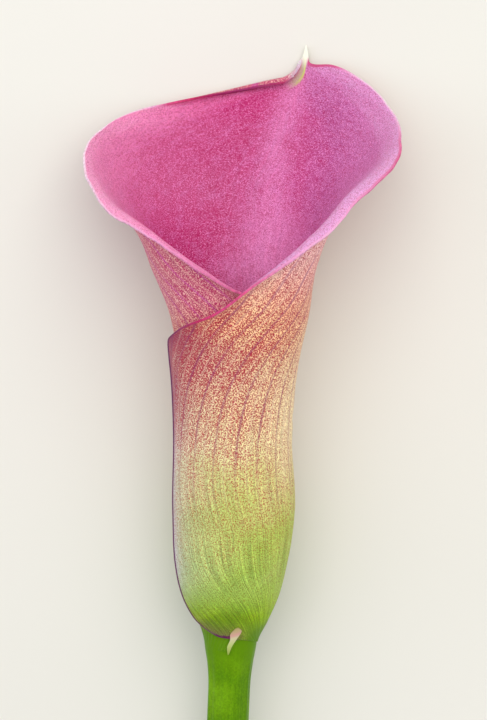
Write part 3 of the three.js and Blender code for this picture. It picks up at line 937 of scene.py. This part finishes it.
outside, tree = new_material("waxy_petal_skin_outside")
leaf = {name: add(tree, "Attribute", out="Fac", attribute_name=name) for name in OUTSIDE_NEEDS}
millimetres, veins = (add(tree, "UVMap", uv_map=name) for name in ("millimetres", "veins"))
cloud, stria, askew = skin_patterns(tree, millimetres, veins, cloud_detail=3.0, strand_length=14)
drift = add(tree, "Math", {0: cloud, 1: -0.5}, operation="ADD")
uneven = add(tree, "Math", {0: drift, 1: CLOUD_DRIFT, 2: leaf["height_mm"]}, operation="MULTIPLY_ADD")
up_share = add(tree, "Math", {0: uneven, 1: MOUTH_TOP}, operation="DIVIDE")
ground = add(tree, "ValToRGB", {"Fac": up_share}, stops=GROUND)
for name, tint in (
    # painted sheen along the seam
    ("painted_sheen_by_seam", "#cbc4d4"),
    ("inner_layer", "#d49e9e"),
    # painted light on the tube's right side
    ("painted_light_side", "#f4dab2"),
    # painted light below the right lip
    ("painted_light_under_flange", "#fcd4dc"),
    # painted shade under the left lip, and the flush at the foot
    ("corner", "#8e3c66"),
):
    ground = add(tree, "Mix", {SHARE: leaf[name], FIRST: ground, SECOND: tint}, MIXED, data_type="RGBA")
print("the ground has", len(tree.nodes), "nodes")

# %% Petal skin, outside: speckles over the ground
SKIN_CELL = 0.125  # mm; a little larger than life, so that single cells show
DOT_PITCH = 0.25  # mm from one cluster of red cells to the next
CLUSTERING = 0.6  # how far clusters, rather than chance, decide which cells are red
ZONE_WIDTH = 3.5  # mm; between two veins the speckles stand closer or wider
ZONE_LENGTH = 26  # mm
BLUSH = [(0.08, "#8a7624"), (0.2, "#a65c30"), (0.3, "#b03c40"), (0.5, "#ae1c38"), (0.68, "#bc2c48")]
BLUSH += [(0.9, "#c8506c")]  # the red cells, from the joint to the mouth

warp = add(tree, "TexNoise", {"Vector": askew, "Scale": 1.6 / SKIN_CELL, "Detail": 0.0}, out="Color")
warp = add(tree, "VectorMath", {0: warp, "Scale": 0.5 * SKIN_CELL}, operation="SCALE")
wavy = add(tree, "VectorMath", {0: askew, 1: warp}, operation="ADD")
cells = add(tree, "TexVoronoi", {"Vector": wavy, "Scale": 1 / SKIN_CELL})
chance = add(tree, "SeparateColor", {0: cells.node.outputs["Color"]})
between_veins = add(tree, "Mapping", {"Vector": veins, "Scale": (1 / ZONE_WIDTH, 1 / ZONE_LENGTH, 1)})
zone = add(tree, "TexNoise", {"Vector": between_veins, "Scale": 1.0, "Detail": 2.0}, noise_dimensions="2D")
uneven = add(tree, "Math", {0: zone, 1: 0.6, 2: 0.45}, operation="MULTIPLY_ADD")
uneven = add(tree, "Math", {0: cloud, 1: 0.5, 2: uneven}, operation="MULTIPLY_ADD")
dots = add(tree, "TexVoronoi", {"Vector": wavy, "Scale": 1 / DOT_PITCH})
dot = add(tree, "MapRange", {"Value": dots, "From Min": 0.25, "From Max": 0.85})
rank = add(tree, "Mix", {0: CLUSTERING, 2: chance, 3: dot}, 0)
over = leaf["speckled_share"]  # a cell is red where its rank stays under what becomes of this share
for step, number in (
    ("MULTIPLY", uneven),
    ("MINIMUM", 0.7),
    ("MULTIPLY", 0.5),
    ("POWER", 0.5),
    ("SUBTRACT", rank),
):
    over = add(tree, "Math", {0: over, 1: number}, operation=step)
speckled = add(tree, "MapRange", {"Value": over, "From Min": -0.06, "From Max": 0.05, "To Max": 0.95})
lighter = {"Value": rank, "From Min": 0.2, "From Max": 0.8, "To Min": 0.78, "To Max": 1.2}
ground = add(tree, "VectorMath", {0: ground, "Scale": add(tree, "MapRange", lighter)}, operation="SCALE")
blush = add(tree, "ValToRGB", {"Fac": up_share}, stops=BLUSH)
inner = {SHARE: leaf["inner_layer"], FIRST: blush, SECOND: "#b62c62"}
blush = add(tree, "Mix", inner, MIXED, data_type="RGBA")
skin = add(tree, "Mix", {SHARE: speckled, FIRST: ground, SECOND: blush}, MIXED, data_type="RGBA")
print("with speckles it has", len(tree.nodes))

# %% Petal skin, outside: veins and fine lines
VEIN_PITCH = 4.6  # mm
WAVE_TURNS = 20 / (2 * math.pi)  # bands of a Wave texture in one unit at scale 1

height = leaf["height_mm"]
foot = {"Value": height, "From Min": 8.0, "From Max": 35.0, "To Min": 1.9, "To Max": 0.7}
tone = add(tree, "Math", {0: stria, 1: -0.5}, operation="ADD")
tone = add(tree, "Math", {0: tone, 1: add(tree, "MapRange", foot), 2: 1.0}, operation="MULTIPLY_ADD")
skin = add(tree, "VectorMath", {0: skin, "Scale": tone}, operation="SCALE")
bands = {"Vector": veins, "Scale": 1 / (VEIN_PITCH * WAVE_TURNS), "Distortion": 0.8}
bands |= {"Detail": 1.0, "Detail Scale": 0.3}
wave = add(tree, "TexWave", bands, out="Fac", bands_direction="X")
vein = add(tree, "MapRange", {"Value": wave, "From Min": 0.955, "From Max": 0.992})
patchy = add(tree, "MapRange", {"Value": cloud, "From Min": 0.3, "From Max": 0.6, "To Min": 0.55})
reach = add(tree, "MapRange", {"Value": height, "From Min": 22.0, "From Max": 50.0, "To Max": 0.7})
for part in (patchy, reach):
    vein = add(tree, "Math", {0: vein, 1: part}, operation="MULTIPLY")
purple = "#96305e"
# below the right lip the veins turn pale pink, with the painted light there
for name, tint in (("inner_layer", "#c2409a"), ("painted_light_under_flange", "#f2bccc")):
    purple = add(tree, "Mix", {SHARE: leaf[name], FIRST: purple, SECOND: tint}, MIXED, data_type="RGBA")
pale_line = add(tree, "MapRange", {"Value": wave, "From Min": 0.03, "From Max": 0.0, "To Max": 0.4})
pale_line = add(tree, "Math", {0: pale_line, 1: reach}, operation="MULTIPLY")
print("with veins it has", len(tree.nodes))

# %% Petal skin, outside: all its layers, and its relief
# a deeper mauve: painted shade under the left lip, and on the flush at the foot
deeper_lip_shade_and_flush = add(tree, "Math", {0: leaf["corner"], 1: 0.45}, operation="MULTIPLY")
for share, tint in (
    (vein, purple),
    (pale_line, "#e9c9b4"),
    (deeper_lip_shade_and_flush, "#763a62"),
    margin_line(tree, leaf, breadth=0.4, starts=0.0, ends=0.3, strength=0.95),
    (leaf["neck"], STEM_GREEN),
    (leaf["torn_edge"], "#cbbccb"),
    (leaf["tip"], "#dfe6bd"),
):
    skin = add(tree, "Mix", {SHARE: share, FIRST: skin, SECOND: tint}, MIXED, data_type="RGBA")
relief = add(tree, "Math", {0: stria, 1: 0.5, 2: wave}, operation="MULTIPLY_ADD")
relief = add(tree, "Math", {0: cells, 1: -0.3, 2: relief}, operation="MULTIPLY_ADD")
living_skin(tree, skin, add(tree, "Bump", {"Strength": 0.3, "Distance": 0.05 * MM, "Height": relief}), 0.48)
print(outside.name, "has", len(tree.nodes), "nodes")

# %% [markdown]
# ## The spathe's inside
#
# Inside, the pink lies in one even layer over white flesh. Each cell of the skin is a tiny lens, so the
# surface looks dusted with light: single cells are painted lighter or darker, as painted glints and
# painted shade. The pink is deepest in the left lobe, cooler and paler in the right one, and darker low
# in the throat, where shade is painted. A lighter band painted along the midrib stands for the highlight
# on its ridge and ends green under the tip, and the lobes pale towards their lips, frosted and with
# painted sheen.

# %% Petal skin, inside: the pink and its blotches
MOTTLE = 2.6  # mm
PINKS = [(0.02, "#d69cce"), (0.12, "#be6ca8"), (0.25, "#ae5090"), (0.42, "#bc387e"), (0.6, "#ba1c68")]
PINKS += [(0.8, "#c02670"), (0.93, "#e874ac"), (1.0, "#f8a4cc")]  # from the right margin to the left one
INSIDE_NEEDS = ("across", "height_mm", "margin_mm", "painted_midrib_light", "lobe_bloom_and_sheen", "dark_line")
INSIDE_NEEDS += ("keel", "keel_line", "tip")

inside, tree = new_material("waxy_petal_skin_inside")
leaf = {name: add(tree, "Attribute", out="Fac", attribute_name=name) for name in INSIDE_NEEDS}
millimetres, veins = (add(tree, "UVMap", uv_map=name) for name in ("millimetres", "veins"))
cloud, stria, askew = skin_patterns(tree, millimetres, veins, cloud_detail=4.0, strand_length=18)
drift = add(tree, "Math", {0: cloud, 1: -0.5}, operation="ADD")
place = add(tree, "Math", {0: leaf["across"], 1: 0.5, 2: 0.5}, operation="MULTIPLY_ADD")
place = add(tree, "Math", {0: drift, 1: 0.14, 2: place}, operation="MULTIPLY_ADD")
skin = add(tree, "ValToRGB", {"Fac": place}, stops=PINKS)
# painted shade: a darker crimson low in the throat
throat = {"Value": leaf["height_mm"], "From Min": 35.0, "From Max": 72.0, "To Min": 0.85, "To Max": 0.0}
throat_shade = add(tree, "MapRange", throat)
blotches = {"Vector": millimetres, "Scale": 1 / MOTTLE, "Detail": 3.0}
blotch = add(tree, "TexNoise", blotches, noise_dimensions="2D")
lilac = add(tree, "MapRange", {"Value": blotch, "From Min": 0.5, "From Max": 0.75, "To Max": 0.3})
flush = add(tree, "MapRange", {"Value": blotch, "From Min": 0.48, "From Max": 0.25, "To Max": 0.35})
for share, tint in (
    # painted highlight along the midrib
    (leaf["painted_midrib_light"], "#ec96d0"),
    (throat_shade, "#b83a62"),
    (lilac, "#d47cc0"),
    (flush, "#b8296a"),
):
    skin = add(tree, "Mix", {SHARE: share, FIRST: skin, SECOND: tint}, MIXED, data_type="RGBA")
fine = {"Value": stria, "From Min": 0.3, "From Max": 0.7, "To Min": 0.92, "To Max": 1.07}
tone = add(tree, "MapRange", fine)
skin = add(tree, "VectorMath", {0: skin, "Scale": tone}, operation="SCALE")
print("the pink has", len(tree.nodes), "nodes")

# %% Petal skin, inside: glittering cells, the margin and the keel
GRAIN = 0.11  # mm; the real cells are near 0.05 mm, drawn coarser so that their glitter shows

cells = add(tree, "TexVoronoi", {"Vector": askew, "Scale": 1 / GRAIN})
grain = add(tree, "SeparateColor", {0: cells.node.outputs["Color"]})
# painted shade and painted glints: each cell is drawn darker or lighter at random, as if it caught the light
shade = add(tree, "MapRange", {"Value": grain, "From Min": 0.5, "From Max": 0.0, "To Max": 0.8})
glitter = add(tree, "MapRange", {"Value": grain, "From Min": 0.65, "From Max": 1.0, "To Max": 0.9})
# the colours of that bloom with its painted sheen, and of the painted glints
bloom, sparkle = (
    add(tree, "Mix", {SHARE: leaf["across"], FIRST: right, SECOND: left}, MIXED, data_type="RGBA")
    for right, left in (("#e2b2de", "#f8b0d4"), ("#f0a0de", "#e474bc"))
)
for share, tint in (
    # frosted bloom with painted sheen on the lobes
    (leaf["lobe_bloom_and_sheen"], bloom),
    (shade, "#a4104e"),
    (glitter, sparkle),
    margin_line(tree, leaf, breadth=0.8, starts=0.1, ends=0.4, strength=0.8),
    (leaf["keel"], "#b4b28c"),
    (leaf["keel_line"], "#c8d45c"),
    (leaf["tip"], "#f0f3e2"),
):
    skin = add(tree, "Mix", {SHARE: share, FIRST: skin, SECOND: tint}, MIXED, data_type="RGBA")
living_skin(tree, skin, add(tree, "Bump", {"Strength": 0.4, "Distance": 0.04 * MM, "Height": cells}), 0.5)
print(inside.name, "has", len(tree.nodes), "nodes")

# %% [markdown]
# ## The rim
#
# Where the blade's two skins meet, no pigment hides the white flesh, so the rim of the lobes is a pale
# line. Down the front of the tube the margin is older and drier, and its edge has turned a dark wine
# red.

# %% The blade's thin rim
rim, tree = new_material("petal_rim_flesh")
millimetres = add(tree, "UVMap", uv_map="millimetres")
fray = add(tree, "TexNoise", {"Vector": millimetres, "Scale": 1.4, "Detail": 2.0}, noise_dimensions="2D")
tone = add(tree, "MapRange", {"Value": fray, "From Min": 0.3, "From Max": 0.7, "To Min": 0.8, "To Max": 1.15})
edge = add(tree, "VectorMath", {0: margin_colour(tree), "Scale": tone}, operation="SCALE")
for name, tint in (("torn_edge", "#d6c8d6"), ("tip", "#f2f5e6"), ("neck", STEM_GREEN)):
    share = add(tree, "Attribute", out="Fac", attribute_name=name)
    edge = add(tree, "Mix", {SHARE: share, FIRST: edge, SECOND: tint}, MIXED, data_type="RGBA")
living_skin(tree, edge, add(tree, "Bump", {"Strength": 0.3, "Distance": 0.03 * MM, "Height": fray}), 0.5)
print(rim.name, "has", len(tree.nodes), "nodes")

# %% The dry scrap, papery and matte
DRY_TINTS = [(0.0, "#a89a62"), (0.2, "#bca27c"), (0.34, "#cf9c92"), (0.45, "#ccc49c"), (0.7, "#b4c074")]
DRY_TINTS += [(1.0, "#8fa044")]  # from its top down

papery, tree = new_material("dry_leaf_scrap")
share = add(tree, "Attribute", out="Fac", attribute_name="scrap_share")
dry = add(tree, "ValToRGB", {"Fac": share}, stops=DRY_TINTS)
shader = add(tree, "BsdfPrincipled", {"Base Color": dry, "Roughness": 0.8, "Specular IOR Level": 0.2})
add(tree, "OutputMaterial", {"Surface": shader})
print(papery.name, "is the last of", [slot.material.name for slot in spathe.material_slots])

# %% [markdown]
# ## Pollen and juice
#
# The florets carry dry pollen: matte and golden, with painted shade where they touch and in their
# dimples. The stem is all water under a thin green skin, so it shines more softly than plastic and shows
# fine pale lines along it. Its cut shows pale flesh with the ends of the vascular bundles as small dots.

# %% Finish of the florets
pollen, tree = new_material("pollen_dusted_florets")
bead_share, hollow, rise_share = (
    add(tree, "Attribute", out="Fac", attribute_name=name) for name in ("bead", "dimple", "rise")
)
where = add(tree, "TexCoord", out="Object")
dust = add(tree, "TexNoise", {"Vector": where, "Scale": 0.35 / MM, "Detail": 4.0, "Roughness": 0.7})
# painted shade: the gold darkens where the florets touch
gold = add(tree, "ValToRGB", {"Fac": bead_share}, stops=[(0.1, "#8f6414"), (0.6, "#d9a52c"), (1.0, "#f0c94e")])
foot = {"Value": rise_share, "From Min": 0.05, "From Max": 0.3, "To Min": 0.5, "To Max": 0.0}
greener = add(tree, "MapRange", foot)
powder = add(tree, "MapRange", {"Value": dust, "From Min": 0.52, "From Max": 0.75, "To Max": 0.6})
# the darker gold in the dimples is painted shade
for share, tint in ((hollow, "#b98a2a"), (greener, "#b7b54a"), (powder, "#f7e39a")):
    gold = add(tree, "Mix", {SHARE: share, FIRST: gold, SECOND: tint}, MIXED, data_type="RGBA")
bumps = add(tree, "Bump", {"Strength": 0.4, "Distance": 0.05 * MM, "Height": dust})
looks = {"Base Color": gold, "Normal": bumps, "Roughness": 0.8, "IOR": 1.45, "Sheen Weight": 0.3}
add(tree, "OutputMaterial", {"Surface": add(tree, "BsdfPrincipled", looks)})
spadix.data.materials.append(pollen)
print(pollen.name, "has", len(tree.nodes), "nodes")

# %% Finish of the stem
STEM_LINE_PITCH = 0.45  # mm
STEM_LINE_LENGTH = 22  # mm
STEM_CLOUD = 7  # mm
STEM_CELL = 0.3  # mm; drawn coarse, as the petal's cells are

juicy, tree = new_material("juicy_stem_skin")
down = add(tree, "Attribute", out="Fac", attribute_name="down_mm")
along_stem = add(tree, "UVMap", uv_map="millimetres")
strands = {"Vector": along_stem, "Scale": (1 / STEM_LINE_PITCH, 1 / STEM_LINE_LENGTH, 1)}
strands = add(tree, "Mapping", strands)
lines = add(tree, "TexNoise", {"Vector": strands, "Scale": 1.0, "Detail": 3.0}, noise_dimensions="2D")
clouds = {"Vector": along_stem, "Scale": 1 / STEM_CLOUD, "Detail": 3.0}
cloud = add(tree, "TexNoise", clouds, noise_dimensions="2D")
green = add(tree, "ValToRGB", {"Fac": cloud}, stops=[(0.3, "#528000"), (0.5, "#5f8c00"), (0.72, "#6c9a08")])
bright = add(tree, "MapRange", {"Value": lines, "From Min": 0.5, "From Max": 0.75, "To Max": 0.2})
green = add(tree, "Mix", {SHARE: bright, FIRST: green, SECOND: "#84ae1c"}, MIXED, data_type="RGBA")
where = add(tree, "TexCoord", out="Object")
skin_cells = add(tree, "TexVoronoi", {"Vector": where, "Scale": 1 / (STEM_CELL * MM)})
tone = add(tree, "MapRange", {"Value": skin_cells.node.outputs["Color"], "To Min": 0.8, "To Max": 1.2})
green = add(tree, "VectorMath", {0: green, "Scale": tone}, operation="SCALE")
neck = add(tree, "MapRange", {"Value": down, "From Min": 2.0, "From Max": 9.0, "To Min": 0.9, "To Max": 0.0})
cut_end = add(tree, "MapRange", {"Value": down, "From Min": 106.0, "From Max": 115.0, "To Max": 0.45})
for share, tint in ((neck, STEM_GREEN), (cut_end, "#9fb768")):
    green = add(tree, "Mix", {SHARE: share, FIRST: green, SECOND: tint}, MIXED, data_type="RGBA")
bumps = add(tree, "Bump", {"Strength": 0.3, "Distance": 0.05 * MM, "Height": lines})
looks = {
    "Base Color": green,
    "Normal": bumps,
    "Roughness": 0.4,
    "IOR": 1.4,
    "Specular IOR Level": 0.12,
    "Subsurface Weight": 0.15,
    "Subsurface Radius": (0.5, 1.0, 0.3),
    "Subsurface Scale": 1.2 * MM,
}
add(tree, "OutputMaterial", {"Surface": add(tree, "BsdfPrincipled", looks)})
print(juicy.name, "has", len(tree.nodes), "nodes")

# %% The cut face
BUNDLE_PITCH = 0.85  # mm between the vascular bundles

flesh_cut, tree = new_material("fresh_cut_flesh")
on_cut = add(tree, "UVMap", uv_map="cut")
cells = add(tree, "TexVoronoi", {"Vector": on_cut, "Scale": 1 / BUNDLE_PITCH}, voronoi_dimensions="2D")
middles = {"Value": cells, "From Min": 0.16, "From Max": 0.26, "To Min": 1.0, "To Max": 0.0}
bundle = add(tree, "MapRange", middles)
pith = add(tree, "TexNoise", {"Vector": on_cut, "Scale": 3.0, "Detail": 4.0}, noise_dimensions="2D")
flesh = add(tree, "ValToRGB", {"Fac": pith}, stops=[(0.3, "#c9d795"), (0.7, "#e6ecc4")])
from_centre = add(tree, "VectorMath", {0: on_cut}, out="Value", operation="LENGTH")
skin_ring = add(tree, "MapRange", {"Value": from_centre, "From Min": 4.1, "From Max": 4.7})
for share, tint in ((bundle, "#93a552"), (skin_ring, "#86a83c")):
    flesh = add(tree, "Mix", {SHARE: share, FIRST: flesh, SECOND: tint}, MIXED, data_type="RGBA")
bumps = add(tree, "Bump", {"Strength": 0.5, "Distance": 0.08 * MM, "Height": pith})
looks = {
    "Base Color": flesh,
    "Normal": bumps,
    "Roughness": 0.25,
    "IOR": 1.36,
    "Subsurface Weight": 0.3,
    "Subsurface Radius": (0.8, 1.0, 0.5),
    "Subsurface Scale": 1.0 * MM,
}
add(tree, "OutputMaterial", {"Surface": add(tree, "BsdfPrincipled", looks)})
for finish in (juicy, flesh_cut):
    stem.data.materials.append(finish)  # clearing the slots first would forget which faces are the cut
print(flesh_cut.name, "has", len(tree.nodes), "nodes")

# %% [markdown]
# ## Floor and light
#
# The flower lies on a plain pale floor. The photograph's light is that of a bright overcast day: wide
# and soft, a little stronger from beyond the flower's tip, and the sky fills in the rest. One large
# area light nearly overhead, a weak one on each side and a pale world do the same.

# %% Floor, lights and world
FLOOR_SIZE = 6.0
FLOOR_GAP = 0.2  # mm, so that floor and flower don't share a surface
SOFTBOXES = (  # name, place, size, power and tint
    ("key", (-0.1, -0.45, 0.98), 1.2, 8.0, "#fffaf2"),
    ("fill_left", (0.7, -0.1, 0.6), 0.8, 1.7, "#f4f8ff"),
    ("fill_right", (-0.75, 0.0, 0.4), 0.8, 0.7, "#fffaf2"),
)
BLOOM_MIDDLE = 60  # mm from the joint

bpy.ops.mesh.primitive_plane_add(size=FLOOR_SIZE, location=(0, 0, -FLOOR_GAP * MM))
floor = bpy.context.object
floor.name = floor.data.name = "floor"
paper, tree = new_material("matte_paper")
where = add(tree, "TexCoord", out="Object")
speck = add(tree, "TexNoise", {"Vector": where, "Scale": 4.0, "Detail": 3.0})
sheet = add(tree, "ValToRGB", {"Fac": speck}, stops=[(0.3, "#dcdad3"), (0.7, "#e2e0da")])
add(tree, "OutputMaterial", {"Surface": add(tree, "BsdfPrincipled", {"Base Color": sheet, "Roughness": 0.9})})
floor.data.materials.append(paper)
bloom_middle = Vector((joint[0], joint[1] - BLOOM_MIDDLE, FOCUS_HEIGHT)) * MM
for name, place, size, power, tint in SOFTBOXES:
    bpy.ops.object.light_add(type="AREA", location=place)
    lamp = bpy.context.object
    lamp.name = name
    lamp.rotation_euler = (bloom_middle - Vector(place)).to_track_quat("-Z", "Y").to_euler()
    lamp.data.size = size
    lamp.data.energy = power
    lamp.data.color = colour(tint)[:3]
world = bpy.data.worlds.new("overcast")
world.use_nodes = True
world.node_tree.nodes.clear()
sky = add(world.node_tree, "Background", {"Color": "#f2f5f7", "Strength": 0.7})
add(world.node_tree, "OutputWorld", {"Surface": sky})
bpy.context.scene.world = world
bpy.context.scene.view_settings.view_transform = "Standard"
bpy.context.scene.view_settings.look = "None"

# %% [markdown]
# ## Hand the pieces over
#
# Each finer piece takes the place of the imported solid that it was made from and rides on the flower's
# one body.

# %% What each piece stands for
for piece, node, slot in (
    (spathe, "spathe", "spathe_blade"),
    (spadix, "spadix", "floret_spike"),
    (stem, "stem", "green_stem"),
):
    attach(piece, "root")
    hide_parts(node)
